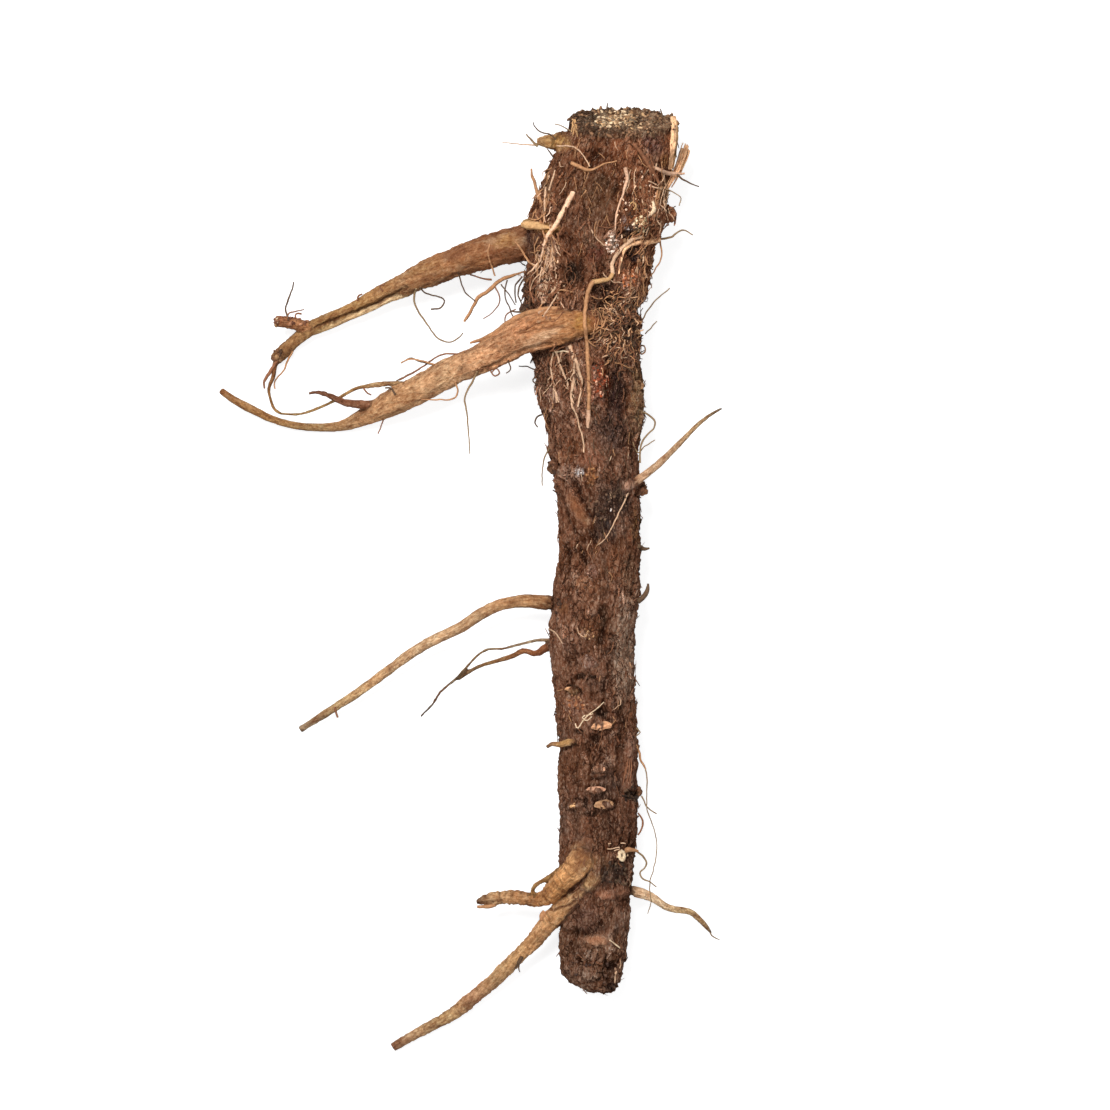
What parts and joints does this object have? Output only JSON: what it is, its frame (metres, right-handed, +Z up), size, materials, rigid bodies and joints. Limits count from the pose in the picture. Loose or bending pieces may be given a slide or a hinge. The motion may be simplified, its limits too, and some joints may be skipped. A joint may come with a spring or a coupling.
{
  "type": "dried chicory root",
  "caption": "Dried chicory root lying on its side: brown woody taproot with a slanting cut crown, a snapped tip, tan side roots reaching left, and thin wiry rootlets.",
  "frame": {"origin": "middle of the root's box seen from above, on the surface that it rests on", "axes": "+Z up; +Y along the taproot from its tip to its crown; the thick side roots reach out along -X"},
  "size_m": [0.1512, 0.2852, 0.0382],
  "materials": {
    "bark": "matte"
  },
  "bodies": {
    "root": {"chicory_root": "bark"}
  },
  "joints": []
}
